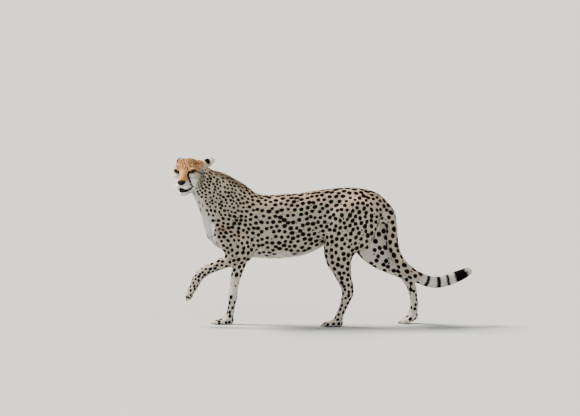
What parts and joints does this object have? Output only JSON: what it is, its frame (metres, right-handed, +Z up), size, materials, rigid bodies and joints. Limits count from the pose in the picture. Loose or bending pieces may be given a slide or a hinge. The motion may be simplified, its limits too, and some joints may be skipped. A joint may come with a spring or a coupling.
{
  "type": "cheetah",
  "caption": "Life-size spotted big cat standing in mid-walk, one forepaw raised and head turned to its left, as a still display model that rests on its own feet.",
  "frame": {"origin": "middle of the bounding box at floor level", "axes": "+Z up; the body runs along X, its chest and head towards -X and its tail towards +X; its left side faces -Y, and the head looks out to -Y"},
  "size_m": [1.5628, 0.3356, 0.8875],
  "materials": {
    "tan_fur": "short tan coat with solid black spots, white below",
    "dark_fur": "black patch on the back of the ear, tan rim and white tip",
    "pale_fur": "pale tail end with black rings and a white tip",
    "amber_eye": "glossy amber eye with a round black pupil",
    "nose_leather": "dark moist nose pad"
  },
  "bodies": {
    "root": {"trunk": "tan_fur", "neck": "tan_fur", "head": "tan_fur", "ear_left": "dark_fur", "ear_right": "dark_fur", "eye_left": "amber_eye", "eye_right": "amber_eye", "nose": "nose_leather", "tail_base": "tan_fur", "tail_middle": "tan_fur", "tail_tip": "pale_fur", "foreleg_left": "tan_fur", "forepaw_left": "tan_fur", "foreleg_right": "tan_fur", "forepaw_right": "tan_fur", "thigh_left": "tan_fur", "shank_left": "tan_fur", "hindfoot_left": "tan_fur", "thigh_right": "tan_fur", "shank_right": "tan_fur", "hindfoot_right": "tan_fur"}
  },
  "joints": []
}
